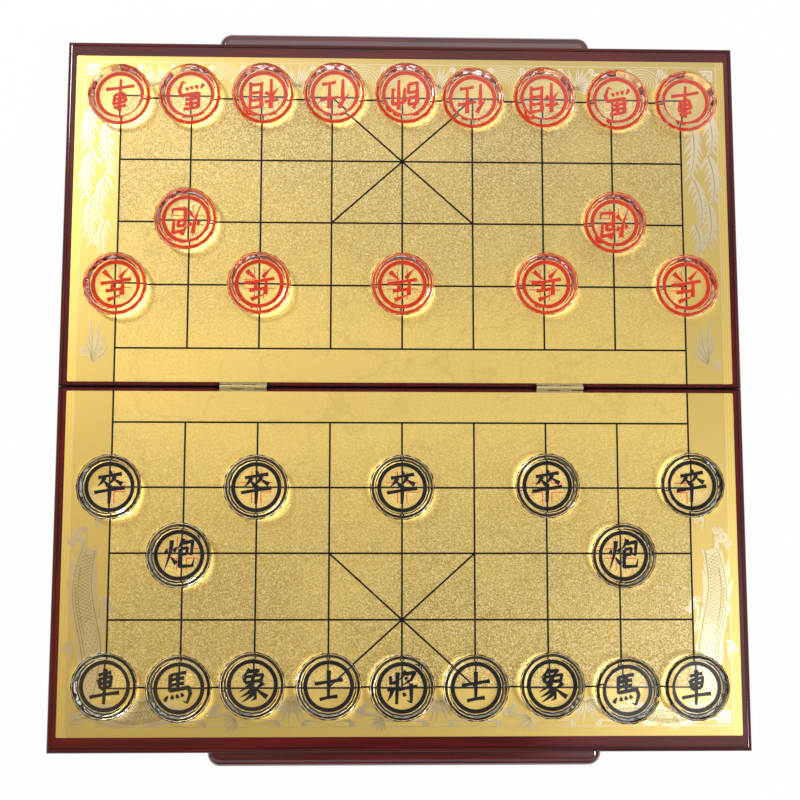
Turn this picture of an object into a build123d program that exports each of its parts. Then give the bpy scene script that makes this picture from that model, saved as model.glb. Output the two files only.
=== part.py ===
"""Folding xiangqi board box: two hinged half cases with drawers, and thirty-two cut-glass men.

Millimetres, +Z up. The box lies open and flat with its playing faces up. The origin is at
the middle of the underside, below the hinge line. X runs along the hinge line, and +Y points
to the far half.
"""

import os
from math import cos, radians

from build123d import *

# ---------------------------------------------------------------- driving dimensions
CASE_WIDTH = 372.0
HALF_DEPTH = 193.2
RIM_HEIGHT = 28.0
SEAM_GAP = 0.5

SIDE_RIM = 5.2
OUTER_RIM = 8.4
SEAM_RIM = 2.25
SIDE_WALL = 8.0
OUTER_WALL = 12.0
SEAM_WALL = 8.0

BEAD_RADIUS = 2.4
QUIRK_WIDTH = 0.6
QUIRK_DEPTH = 0.5
FOOT_CHAMFER = 1.2

PLATE_THICK = 0.5
PLATE_CORNER = 0.8
PLATE_OVERLAP = 1.0
TOP_BOARD = 5.0
BASE_BOARD = 3.0
BASE_LEDGE = 4.0
BASE_RECESS = 0.5

DRAWER_WIDTH = 192.0
DRAWER_LENGTH = 165.0
DRAWER_LOW = 3.8
DRAWER_HIGH = 22.0
DRAWER_WALL = 6.0
DRAWER_BOTTOM = 3.0
DRAWER_GROOVE = 2.5
DRAWER_CORNER = 2.0
DRAWER_EASE = 0.8
DRAWER_CLEAR = 0.5
LINING_THICK = 1.0
LINING_CLEAR = 0.3
GUIDE_WIDTH = 10.0
GUIDE_LENGTH = 150.0
GUIDE_HEIGHT = 14.0

FRONT_WIDTH = 209.0
FRONT_THICK = 7.8
FRONT_LOW = 2.5
FRONT_HIGH = 24.5
FRONT_BULLNOSE = 4.5
FRONT_END = 7.0
FRONT_SHIFT = 1.8

HINGE_X = 86.0
HINGE_LENGTH = 25.4
KNUCKLES = 4
KNUCKLE_GAP = 0.12
BARREL_RADIUS = 1.1
PIN_RADIUS = 0.5
PIN_CLEAR = 0.05
LEAF_THICK = 0.6
LEAF_REACH = 10.0
LEAF_RELIEF = 1.45
NOTCH_MARGIN = 2.3
NOTCH_REACH = 1.6
NOTCH_DEPTH = 2.0

OVERCUT = 1.0

COLUMN_PITCH = 38.9
ROW_PITCH = 35.0
RIVER_WIDTH = 40.3
BOARD_SHIFT = 0.8

ROWS_PER_SIDE = 5
BACK_ROW = 0
CANNON_ROW = 2
SOLDIER_ROW = 3

MAN_RADIUS = 17.5
MAN_HEIGHT = 10.0
MAN_FACETS = 18
GIRDLE_HEIGHT = 5.4
STEEP_TABLE = 16.0
STEEP_FOOT = 15.0
SLANTED_TABLE = 14.4
SLANTED_FOOT = 13.8

BACK_RANKS = ("chariot_left", "horse_left", "elephant_left", "advisor_left", "general",
              "advisor_right", "elephant_right", "horse_right", "chariot_right")
OFF_POINT = {
    "red_horse_left": (-0.4, 0.6),
    "red_elephant_left": (1.0, 1.4),
    "red_advisor_left": (1.4, 2.0),
    "red_general": (1.9, 2.3),
    "red_elephant_right": (0.9, 0.7),
    "red_horse_right": (2.4, -0.2),
    "red_chariot_right": (2.0, -0.7),
    "red_cannon_left": (-1.3, 0.5),
    "red_soldier_1": (0.4, -0.8),
    "red_soldier_4": (0.9, 0.6),
    "black_soldier_4": (0.0, 1.0),
    "black_soldier_5": (0.2, 1.4),
    "black_cannon_left": (-1.4, -1.0),
    "black_cannon_right": (1.4, -1.2),
    "black_chariot_left": (0.3, 1.2),
    "black_elephant_left": (-0.6, 1.5),
    "black_advisor_left": (0.4, 0.9),
    "black_elephant_right": (1.3, 1.1),
    "black_horse_right": (2.2, -1.6),
}

# ---------------------------------------------------------------- derived
FACE = RIM_HEIGHT + PLATE_THICK
INNER_EDGE = SEAM_GAP / 2
OUTER_EDGE = INNER_EDGE + HALF_DEPTH
PLATE_WIDTH = CASE_WIDTH - 2 * SIDE_RIM
PLATE_INNER = INNER_EDGE + SEAM_RIM
PLATE_OUTER = OUTER_EDGE - OUTER_RIM
BAY_INNER = INNER_EDGE + SEAM_WALL
BAY_OUTER = OUTER_EDGE - OUTER_WALL
BAY_WIDTH = CASE_WIDTH - 2 * SIDE_WALL
KNUCKLE_PITCH = HINGE_LENGTH / KNUCKLES
LEAF_TOP = RIM_HEIGHT
LEAF_BOTTOM = FACE - BARREL_RADIUS
HALVES = {"near": -1, "far": 1}
HINGES = {"left": -HINGE_X, "right": HINGE_X}

os.makedirs("parts", exist_ok=True)


def save(part, name):
    """Label a finished piece and write it to its own STEP file."""
    part.label = name
    export_step(part, f"parts/{name}.step")


def box_between(x_low, x_high, y_low, y_high, z_low, z_high, mode=Mode.ADD):
    """A block given by its two opposite corners, added to or cut from the open part."""
    middle = ((x_low + x_high) / 2, (y_low + y_high) / 2, (z_low + z_high) / 2)
    with Locations(middle):
        Box(abs(x_high - x_low), abs(y_high - y_low), abs(z_high - z_low), mode=mode)


def slab(width, y_a, y_b, z_low, z_high, corner=0.0, mode=Mode.ADD):
    """A board centred on X between two Y lines, with rounded corners if asked."""
    with BuildSketch(Plane.XY.offset(z_low)) as outline:
        with Locations((0, (y_a + y_b) / 2)):
            if corner:
                RectangleRounded(width, abs(y_b - y_a), corner)
            else:
                Rectangle(width, abs(y_b - y_a))
    extrude(outline.sketch, amount=z_high - z_low, mode=mode)


def without_seam_edge(face, side):
    """The edges of a level rectangular face, apart from the one along the seam."""
    by_distance = face.edges().sort_by(lambda edge: side * edge.center().Y)
    return by_distance[1:]


def leaf_recess(side, mode=Mode.SUBTRACT):
    """The shallow beds of both hinge leaves, cut into whatever part is open."""
    for centre in HINGES.values():
        half = HINGE_LENGTH / 2
        y_ends = sorted((side * INNER_EDGE, side * LEAF_REACH))
        box_between(centre - half, centre + half, *y_ends, LEAF_BOTTOM, LEAF_TOP, mode=mode)


def case_frame(side):
    """The lacquered frame of one half: four walls with a beaded edge and a drawer mouth."""
    with BuildPart() as frame:
        slab(CASE_WIDTH, side * INNER_EDGE, side * OUTER_EDGE, 0, RIM_HEIGHT)
        fillet(without_seam_edge(frame.faces().sort_by(Axis.Z)[-1], side), radius=BEAD_RADIUS)
        chamfer(without_seam_edge(frame.faces().sort_by(Axis.Z)[0], side), length=FOOT_CHAMFER)
        quirk_outer = CASE_WIDTH - 2 * BEAD_RADIUS
        quirk_inner = quirk_outer - 2 * QUIRK_WIDTH
        with BuildSketch(Plane.XY.offset(RIM_HEIGHT)):
            with Locations((0, side * (OUTER_EDGE - BEAD_RADIUS) / 2)):
                Rectangle(quirk_outer, OUTER_EDGE - BEAD_RADIUS)
            with Locations((0, side * (OUTER_EDGE - BEAD_RADIUS - QUIRK_WIDTH) / 2)):
                Rectangle(quirk_inner, OUTER_EDGE - BEAD_RADIUS - QUIRK_WIDTH, mode=Mode.SUBTRACT)
        extrude(amount=-QUIRK_DEPTH, mode=Mode.SUBTRACT)
        slab(BAY_WIDTH, side * BAY_INNER, side * BAY_OUTER, 0, RIM_HEIGHT, mode=Mode.SUBTRACT)
        slab(PLATE_WIDTH - 2 * PLATE_OVERLAP, side * (PLATE_INNER + PLATE_OVERLAP),
             side * (PLATE_OUTER - PLATE_OVERLAP), RIM_HEIGHT - TOP_BOARD, RIM_HEIGHT,
             mode=Mode.SUBTRACT)
        slab(BAY_WIDTH + 2 * BASE_LEDGE, side * (BAY_INNER - BASE_LEDGE),
             side * (BAY_OUTER + BASE_LEDGE), 0, BASE_RECESS + BASE_BOARD, mode=Mode.SUBTRACT)
        mouth = DRAWER_WIDTH / 2 + DRAWER_CLEAR
        y_ends = sorted((side * (BAY_OUTER - OVERCUT), side * (OUTER_EDGE + OVERCUT)))
        box_between(-mouth, mouth, *y_ends, BASE_RECESS + BASE_BOARD,
                    DRAWER_HIGH + DRAWER_CLEAR, mode=Mode.SUBTRACT)
        for centre in HINGES.values():
            half = HINGE_LENGTH / 2 + NOTCH_MARGIN
            y_ends = sorted((0, side * NOTCH_REACH))
            box_between(centre - half, centre + half, *y_ends, RIM_HEIGHT - NOTCH_DEPTH,
                        RIM_HEIGHT, mode=Mode.SUBTRACT)
        leaf_recess(side)
    return frame.part


def top_board(side):
    """The board that closes a half from above, with the beds of the hinge leaves."""
    with BuildPart() as board:
        slab(PLATE_WIDTH - 2 * PLATE_OVERLAP, side * (PLATE_INNER + PLATE_OVERLAP),
             side * (PLATE_OUTER - PLATE_OVERLAP), RIM_HEIGHT - TOP_BOARD, RIM_HEIGHT)
        leaf_recess(side)
    return board.part


def base_board(side):
    """The panel let into the underside, a little higher than the frame's foot."""
    with BuildPart() as board:
        slab(BAY_WIDTH + 2 * BASE_LEDGE, side * (BAY_INNER - BASE_LEDGE),
             side * (BAY_OUTER + BASE_LEDGE), BASE_RECESS, BASE_RECESS + BASE_BOARD)
    return board.part


def board_plate(side):
    """The thin gold playing plate, laid over the board and the hinge leaves."""
    with BuildPart() as plate:
        slab(PLATE_WIDTH, side * PLATE_INNER, side * PLATE_OUTER, RIM_HEIGHT, FACE,
             corner=PLATE_CORNER)
    return plate.part


def drawer_guides(side):
    """Two runners on the base board, one each side of the drawer."""
    with BuildPart() as guides:
        inner = DRAWER_WIDTH / 2 + DRAWER_CLEAR
        y_ends = (side * (BAY_OUTER - GUIDE_LENGTH), side * BAY_OUTER)
        z_low = BASE_RECESS + BASE_BOARD
        for hand in (-1, 1):
            x_ends = sorted((hand * inner, hand * (inner + GUIDE_WIDTH)))
            box_between(*x_ends, *y_ends, z_low, z_low + GUIDE_HEIGHT)
    return guides.part


def drawer_box(side):
    """Four drawer walls with a groove for the bottom panel."""
    with BuildPart() as box:
        near_end = side * (OUTER_EDGE - DRAWER_LENGTH)
        far_end = side * OUTER_EDGE
        inner_width = DRAWER_WIDTH - 2 * DRAWER_WALL
        inner_ends = (near_end + side * DRAWER_WALL, far_end - side * DRAWER_WALL)
        slab(DRAWER_WIDTH, near_end, far_end, DRAWER_LOW, DRAWER_HIGH)
        slab(inner_width, *inner_ends, DRAWER_LOW, DRAWER_HIGH, corner=DRAWER_CORNER,
             mode=Mode.SUBTRACT)
        slab(inner_width + 2 * DRAWER_GROOVE, inner_ends[0] - side * DRAWER_GROOVE,
             inner_ends[1] + side * DRAWER_GROOVE, DRAWER_LOW, DRAWER_LOW + DRAWER_BOTTOM,
             mode=Mode.SUBTRACT)
        upper = box.faces().filter_by(Axis.Z).sort_by(Axis.Z)[-1]
        chamfer(upper.inner_wires()[0].edges(), length=DRAWER_EASE)
    return box.part


def drawer_bottom(side):
    """The drawer's bottom panel."""
    with BuildPart() as bottom:
        inner_width = DRAWER_WIDTH - 2 * DRAWER_WALL + 2 * DRAWER_GROOVE
        y_a = side * (OUTER_EDGE - DRAWER_LENGTH + DRAWER_WALL - DRAWER_GROOVE)
        y_b = side * (OUTER_EDGE - DRAWER_WALL + DRAWER_GROOVE)
        slab(inner_width, y_a, y_b, DRAWER_LOW, DRAWER_LOW + DRAWER_BOTTOM)
    return bottom.part


def drawer_lining(side):
    """The soft sheet that lies on the drawer's bottom."""
    with BuildPart() as lining:
        z_low = DRAWER_LOW + DRAWER_BOTTOM
        width = DRAWER_WIDTH - 2 * DRAWER_WALL - 2 * LINING_CLEAR
        y_a = side * (OUTER_EDGE - DRAWER_LENGTH + DRAWER_WALL + LINING_CLEAR)
        y_b = side * (OUTER_EDGE - DRAWER_WALL - LINING_CLEAR)
        slab(width, y_a, y_b, z_low, z_low + LINING_THICK, corner=DRAWER_CORNER)
    return lining.part


def drawer_front(side):
    """The bullnose front, wider than its mouth and a little off its middle, with rounded ends."""
    with BuildPart() as front:
        x_ends = (FRONT_SHIFT - FRONT_WIDTH / 2, FRONT_SHIFT + FRONT_WIDTH / 2)
        y_ends = sorted((side * OUTER_EDGE, side * (OUTER_EDGE + FRONT_THICK)))
        box_between(*x_ends, *y_ends, FRONT_LOW, FRONT_HIGH)
        outer = front.faces().sort_by(lambda face: side * face.center().Y)[-1]
        fillet(outer.edges().filter_by(Axis.Z), radius=FRONT_END)
        level_edges = front.faces().filter_by(Axis.Z).edges()
        rounded = level_edges.filter_by(lambda edge: abs(edge.center().Y) > OUTER_EDGE + FRONT_BULLNOSE / 2)
        fillet(rounded, radius=FRONT_BULLNOSE)
    return front.part


def hinge_leaf(centre, side):
    """One curled leaf: a flat let into the wood, and every second knuckle of the barrel."""
    first = 0 if side < 0 else 1
    bore = PIN_RADIUS if side < 0 else PIN_RADIUS + PIN_CLEAR
    left_end = centre - HINGE_LENGTH / 2
    with BuildPart() as leaf:
        with BuildSketch(Plane.XY.offset(LEAF_BOTTOM)):
            with Locations((centre, side * LEAF_REACH / 2)):
                Rectangle(HINGE_LENGTH, LEAF_REACH)
            for index in range(KNUCKLES):
                if index % 2 != first:
                    middle = left_end + (index + 0.5) * KNUCKLE_PITCH
                    with Locations((middle, side * LEAF_RELIEF / 2)):
                        Rectangle(KNUCKLE_PITCH + KNUCKLE_GAP, LEAF_RELIEF, mode=Mode.SUBTRACT)
        extrude(amount=LEAF_THICK)
        for index in range(first, KNUCKLES, 2):
            start = left_end + index * KNUCKLE_PITCH + KNUCKLE_GAP / 2
            with BuildSketch(Plane.YZ.offset(start)):
                with Locations((0, FACE)):
                    Circle(BARREL_RADIUS)
            extrude(amount=KNUCKLE_PITCH - KNUCKLE_GAP)
        with BuildSketch(Plane.YZ.offset(left_end - OVERCUT)):
            with Locations((0, FACE)):
                Circle(bore)
        extrude(amount=HINGE_LENGTH + 2 * OVERCUT, mode=Mode.SUBTRACT)
    return leaf.part


def hinge_pin(centre):
    """The pin, held in the near leaf's knuckles, with flat ends flush with the barrel."""
    with BuildPart() as pin:
        with BuildSketch(Plane.YZ.offset(centre - HINGE_LENGTH / 2)):
            with Locations((0, FACE)):
                Circle(PIN_RADIUS)
        extrude(amount=HINGE_LENGTH)
    return pin.part


def tapered_prism(base, girdle, turn, upper, end):
    """A many-sided prism with its upper or lower end cut back to a smaller polygon."""
    with BuildPart() as prism:
        with BuildSketch(base):
            RegularPolygon(girdle, MAN_FACETS, major_radius=False, rotation=turn)
        extrude(amount=MAN_HEIGHT)
        level = prism.faces().sort_by(Axis.Z)[-1 if upper else 0]
        reach = MAN_HEIGHT - GIRDLE_HEIGHT if upper else GIRDLE_HEIGHT
        chamfer(level.edges(), length=girdle - end, length2=reach, reference=level)
    return prism.part


def glass_man(x, y):
    """A cut-glass disc: the facets of a steep barrel and of a more slanted one alternate.

    Each barrel narrows from its girdle to the table and to the foot. The slanted one is turned
    by half a facet, and touches the steep one's corners at the girdle. What the cut prisms have
    in common is the glass.
    """
    base = Plane((x, y, FACE))
    half_facet = 180 / MAN_FACETS
    steep = MAN_RADIUS * cos(radians(half_facet))
    cuts = (tapered_prism(base, steep, 0, True, STEEP_TABLE),
            tapered_prism(base, steep, 0, False, STEEP_FOOT),
            tapered_prism(base, MAN_RADIUS, half_facet, True, SLANTED_TABLE),
            tapered_prism(base, MAN_RADIUS, half_facet, False, SLANTED_FOOT))
    with BuildPart() as man:
        add(cuts[0])
        for cut in cuts[1:]:
            add(cut, mode=Mode.INTERSECT)
    return man.part


def board_point(side, file, row):
    """Place of a point: files count from the middle, rows from a player's own edge."""
    from_river = RIVER_WIDTH / 2 + (ROWS_PER_SIDE - 1 - row) * ROW_PITCH
    return file * COLUMN_PITCH, side * from_river + BOARD_SHIFT


def opening_points():
    """Rank, file and row of each man of one side at the opening."""
    for file, rank in enumerate(BACK_RANKS, -4):
        yield rank, file, BACK_ROW
    for file, hand in ((-3, "left"), (3, "right")):
        yield f"cannon_{hand}", file, CANNON_ROW
    for number, file in enumerate(range(-4, 5, 2), 1):
        yield f"soldier_{number}", file, SOLDIER_ROW


def men_places():
    """Name and place of every man. A few stand a little off their points, as hands leave them."""
    for colour, side in (("red", 1), ("black", -1)):
        for rank, file, row in opening_points():
            x, y = board_point(side, file, row)
            off_x, off_y = OFF_POINT.get(f"{colour}_{rank}", (0, 0))
            yield f"{colour}_{rank}", x + off_x, y + off_y


def build_case():
    """Every piece of both halves and of the hinges."""
    for half, side in HALVES.items():
        save(case_frame(side), f"{half}_case_frame")
        save(top_board(side), f"{half}_top_board")
        save(base_board(side), f"{half}_base_board")
        save(board_plate(side), f"{half}_board_plate")
        save(drawer_guides(side), f"{half}_drawer_guides")
        save(drawer_box(side), f"{half}_drawer_box")
        save(drawer_bottom(side), f"{half}_drawer_bottom")
        save(drawer_lining(side), f"{half}_drawer_lining")
        save(drawer_front(side), f"{half}_drawer_front")
        for hand, centre in HINGES.items():
            save(hinge_leaf(centre, side), f"{hand}_hinge_{half}_leaf")
    for hand, centre in HINGES.items():
        save(hinge_pin(centre), f"{hand}_hinge_pin")


build_case()
for man_name, man_x, man_y in men_places():
    save(glass_man(man_x, man_y), man_name)
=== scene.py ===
"""Looks of a folding xiangqi board box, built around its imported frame.

Two lacquered half cases carry gold playing plates, and thirty-two cut-glass men stand on
them. Everything is in metres, in the frame's own axes: X runs along the hinge line, +Y points
to the far half, where the red men stand, and +Z points out of the playing faces.
"""

from math import cos, pi, radians, sin

import bmesh
import bpy
from bpy.props import FloatProperty, FloatVectorProperty, PointerProperty
from mathutils import Matrix, Vector


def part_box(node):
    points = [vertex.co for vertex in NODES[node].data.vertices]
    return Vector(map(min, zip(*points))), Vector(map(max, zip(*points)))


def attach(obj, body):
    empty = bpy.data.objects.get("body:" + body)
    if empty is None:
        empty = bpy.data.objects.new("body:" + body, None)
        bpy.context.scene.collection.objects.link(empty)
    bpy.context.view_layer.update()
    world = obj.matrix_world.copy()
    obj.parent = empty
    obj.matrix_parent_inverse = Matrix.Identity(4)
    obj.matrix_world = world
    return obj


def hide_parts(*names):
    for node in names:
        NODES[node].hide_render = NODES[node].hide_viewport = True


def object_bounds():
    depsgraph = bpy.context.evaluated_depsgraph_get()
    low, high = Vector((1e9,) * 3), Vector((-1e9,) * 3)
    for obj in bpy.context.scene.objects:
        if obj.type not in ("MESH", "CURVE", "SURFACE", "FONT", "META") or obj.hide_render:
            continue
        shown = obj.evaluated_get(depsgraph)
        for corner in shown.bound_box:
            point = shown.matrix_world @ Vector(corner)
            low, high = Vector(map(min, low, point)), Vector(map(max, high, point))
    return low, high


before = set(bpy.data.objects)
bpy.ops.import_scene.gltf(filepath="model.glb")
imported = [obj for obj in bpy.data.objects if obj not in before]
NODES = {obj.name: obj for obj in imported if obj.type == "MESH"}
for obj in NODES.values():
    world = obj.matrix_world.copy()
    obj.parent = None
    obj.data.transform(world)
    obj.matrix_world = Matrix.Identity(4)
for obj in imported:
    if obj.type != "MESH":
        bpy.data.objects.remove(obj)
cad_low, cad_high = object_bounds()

bl_info = {
    "name": "Xiangqi Board Box",
    "version": (1, 0, 0),
    "blender": (4, 5, 0),
    "location": "View3D > Sidebar > Xiangqi Box",
    "description": "Finishes, playing plates, ornament and men of a folding xiangqi board box",
    "category": "Add Mesh",
}

MM = 0.001
HAIR = 0.01 * MM  # less than any real step in height
SIDES = {"near": -1, "far": 1}
HANDS = ("left", "right")
# Files are counted from the middle one, and rows from the river's bank.
EDGE_FILE = 4
CANNON_FILE = 3
SOLDIER_ROW = 1
CANNON_ROW = 2
BACK_ROW = 4

plate_low, plate_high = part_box("far_board_plate")
FACE = plate_high.z
PLATE_EDGE = plate_high.x
PLATE_SEAM = plate_low.y
PLATE_END = plate_high.y
CASE_EDGE = cad_high.x
CASE_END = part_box("far_case_frame")[1].y


def centre(node):
    """The middle of a CAD node's box."""
    low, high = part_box(node)
    return (low + high) / 2


# ---------------------------------------------------------------- settings
def a_length(name, default, description):
    """A setting that is a length in metres."""
    return FloatProperty(name=name, unit="LENGTH", default=default, description=description)


def a_power(name, default, description):
    """A setting that is a lamp's power in watts."""
    return FloatProperty(name=name, unit="POWER", default=default, description=description)


def a_share(name, default, description):
    """A setting without a unit."""
    return FloatProperty(name=name, default=default, description=description)


def a_colour(name, default, description):
    """A setting that is a colour."""
    return FloatVectorProperty(name=name, subtype="COLOR", size=3, default=default,
                               description=description)


class BoardLayout(bpy.types.PropertyGroup):
    """The printed board: its points, lines and marks."""

    file_step: a_length("File step", 38.9 * MM, "Distance between files, along the hinge line")
    row_step: a_length("Row step", 35.0 * MM, "Distance between rows")
    bank: a_length("Bank", 20.15 * MM, "From the hinge line to the first row of either half")
    shift: a_length("Shift", 0.8 * MM, "How far the print lies towards the far half")
    line_width: a_length("Line width", 0.98 * MM, "Width of a printed line")
    line_height: a_length("Line height", 0.03 * MM, "How far the printed lines stand proud")
    tick_gap: a_length("Mark gap", 2.5 * MM, "From a point to the corner of its opening marks")
    tick_reach: a_length("Mark reach", 6.0 * MM, "Length of each arm of an opening mark")
    tick_width: a_length("Mark width", 0.55 * MM, "Width of an opening mark")
    line_colour: a_colour("Line colour", (0.008, 0.006, 0.008), "Printed lines")
    tick_colour: a_colour("Mark colour", (0.62, 0.085, 0.045), "Opening marks")


class PlateLook(bpy.types.PropertyGroup):
    """The gold playing plates and their ornament."""

    drop: a_length("Drop", 0.06 * MM, "Gap between a plate and the glass that stands on it")
    edge_bevel: a_length("Edge bevel", 0.12 * MM, "Rounding of a plate's upper edge")
    corner: a_length("Corner", 0.8 * MM, "Rounding of a plate's corners")
    side_margin: a_length("Side margin", 4.8 * MM, "Plain strip beside the ornament")
    far_margin: a_length("Far margin", 3.4 * MM, "Plain strip at the far plate's outer edge")
    near_margin: a_length("Near margin", 5.2 * MM, "Plain strip at the near plate's outer edge")
    rib: a_length("Rib pitch", 1.45 * MM, "Distance between the faint ribs of the side margins")
    coarse_cells: a_share("Coarse stipple", 2050.0, "Grains of the coarse stipple in a metre")
    fine_cells: a_share("Fine stipple", 3700.0, "Grains of the fine stipple in a metre")
    broad_rise: a_share("Broad rise", 0.0045, "Height of a broad shape as a share of its width")
    fine_rise: a_share("Fine rise", 0.014, "Height of a slim shape as a share of its width")
    line_rise: a_share("Engraving rise", 0.10, "Height of a cut line as a share of its width")
    line_lift: a_length("Engraving lift", 0.035 * MM, "Height of a cut line's middle")
    field: a_colour("Field", (0.89, 0.65, 0.17), "Stippled gold")
    # The glint and the pit shade are painted light and shade on the stipple's grains.
    glint: a_colour("Glint", (1.0, 0.89, 0.48), "Bright stipple")
    pit_shade: a_colour("Pit", (0.46, 0.27, 0.045), "Dark stipple")
    polished: a_colour("Polished", (0.98, 0.81, 0.46), "Embossed ornament")
    coat_ior: a_share("Plate coat", 1.75, "Refractive index of the clear coat on a plate")
    polished_ior: a_share("Ornament coat", 2.5, "Refractive index of the ornament's coat")


class CaseLook(bpy.types.PropertyGroup):
    """The lacquered case, its hinges and its drawers."""

    lacquer: a_colour("Lacquer", (0.14, 0.004, 0.0045), "Red-brown lacquer")
    lacquer_dark: a_colour("Lacquer grain", (0.052, 0.0030, 0.0040), "Grain under the lacquer")
    frame_gloss: a_share("Frame gloss", 0.3, "Clear coat on the frames")
    front_gloss: a_share("Front gloss", 1.0, "Clear coat on the drawer fronts")
    panel_gloss: a_share("Panel gloss", 0.07, "Clear coat on the base boards")
    coat_ior: a_share("Lacquer coat", 1.9, "Refractive index of the clear coat")
    mitre: a_length("Mitre line", 0.16 * MM, "Width of the fine line at the mitred corners")
    brass: a_colour("Brass", (0.93, 0.78, 0.40), "Hinge leaves")
    steel: a_colour("Steel", (0.55, 0.53, 0.50), "Hinge pins")
    pale_wood: a_colour("Pale wood", (0.50, 0.29, 0.13), "Drawer sides")
    pale_grain: a_colour("Pale wood grain", (0.33, 0.17, 0.065), "Drawer grain")
    core: a_colour("Core board", (0.30, 0.19, 0.10), "Pressed board")
    cloth: a_colour("Lining", (0.60, 0.36, 0.05), "Flocked lining")
    cloth_corner: a_length("Lining corner", 2.0 * MM, "Rounding of a lining's corners")
    cloth_edge: a_length("Lining edge", 0.35 * MM, "Rounding of a lining's upper edge")


class MenLook(bpy.types.PropertyGroup):
    """The painted cut-glass men."""

    ring_radius: a_length("Ring radius", 12.3 * MM, "Middle of the painted ring")
    ring_width: a_length("Ring width", 2.15 * MM, "Width of the painted ring")
    rank_height: a_length("Rank height", 16.8 * MM, "Height of a painted rank")
    brush: a_length("Brush", 1.02 * MM, "Half the width of a full brush stroke")
    slant: a_share("Slant", 0.10, "How much a level stroke rises to the right")
    paint_lift: a_length("Paint lift", 0.09 * MM, "Height of the paint above the playing face")
    paint_rise: a_share("Paint rise", 0.05, "Thickness of the paint as a share of its width")
    red: a_colour("Red", (0.60, 0.030, 0.009), "Red paint")
    black: a_colour("Black", (0.006, 0.006, 0.009), "Black paint")
    glass: a_colour("Glass", (0.985, 0.99, 0.985), "Clear cut glass")


class StageLook(bpy.types.PropertyGroup):
    """Floor, light and lamps."""

    floor: a_colour("Floor", (0.90, 0.90, 0.90), "Pale floor")
    floor_white: a_share("Floor whiteness", 0.97, "How far the floor is seen as plain white")
    sky_top: a_share("Sky above", 0.24, "Strength of the light in the dark hood overhead")
    sky_side: a_share("Sky around", 0.75, "Strength of the light round the hood")
    panel: a_share("Panels", 1.6, "Strength of the pale panel at the near right")
    left_panel: a_share("Left panel", 0.20, "The far left panel as a share of that")
    far_panel: a_share("Far panel", 0.9, "The far side's panel as a share of that")
    warm_panel: a_share("Warm panel", 0.65, "Strength of the warm panel at the near left")
    warm: a_colour("Warm light", (1.0, 0.72, 0.34), "Tint of the warm panel")
    lamp_left: a_power("Left lamp", 10.8, "Soft lamp behind, on the left")
    lamp_right: a_power("Right lamp", 6.8, "Soft lamp in front, on the right")
    lamp_size: a_length("Lamp size", 0.22, "Width of each soft lamp")


def looks(group):
    """The settings of one property group, as they stand in the scene."""
    return getattr(bpy.context.scene, group)


def scaled(values, share):
    """A colour, or any row of values, times a share."""
    return tuple(share * value for value in values)


# ---------------------------------------------------------------- shader arithmetic
class Field:
    """A socket that takes part in Python arithmetic: each operator adds its Math node."""

    def __init__(self, recipe, socket):
        self.recipe = recipe
        self.socket = socket

    def math(self, operation, *values):
        """One Math node on this value and others."""
        inputs = dict(enumerate((self,) + values))
        return self.recipe.node("ShaderNodeMath", inputs, operation=operation)

    def __add__(self, other):
        return self.math("ADD", other)

    __radd__ = __add__

    def __sub__(self, other):
        return self.math("SUBTRACT", other)

    def __rsub__(self, other):
        return self.recipe.node("ShaderNodeMath", {0: other, 1: self}, operation="SUBTRACT")

    def __mul__(self, other):
        return self.math("MULTIPLY", other)

    __rmul__ = __mul__

    def __abs__(self):
        return self.math("ABSOLUTE")

    def __gt__(self, other):
        return self.math("GREATER_THAN", other)

    def __lt__(self, other):
        return self.math("LESS_THAN", other)

    def ramp(self, low, high, start=0.0, end=1.0):
        """This value carried from low..high to start..end, held at both ends."""
        return self.recipe.node("ShaderNodeMapRange", {0: self, 1: low, 2: high, 3: start, 4: end},
                                clamp=True)

    def spread(self, start, end):
        """Noise carried to start..end: nearly all of its values lie between 0.3 and 0.7."""
        return self.ramp(0.3, 0.7, start, end)


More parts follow.
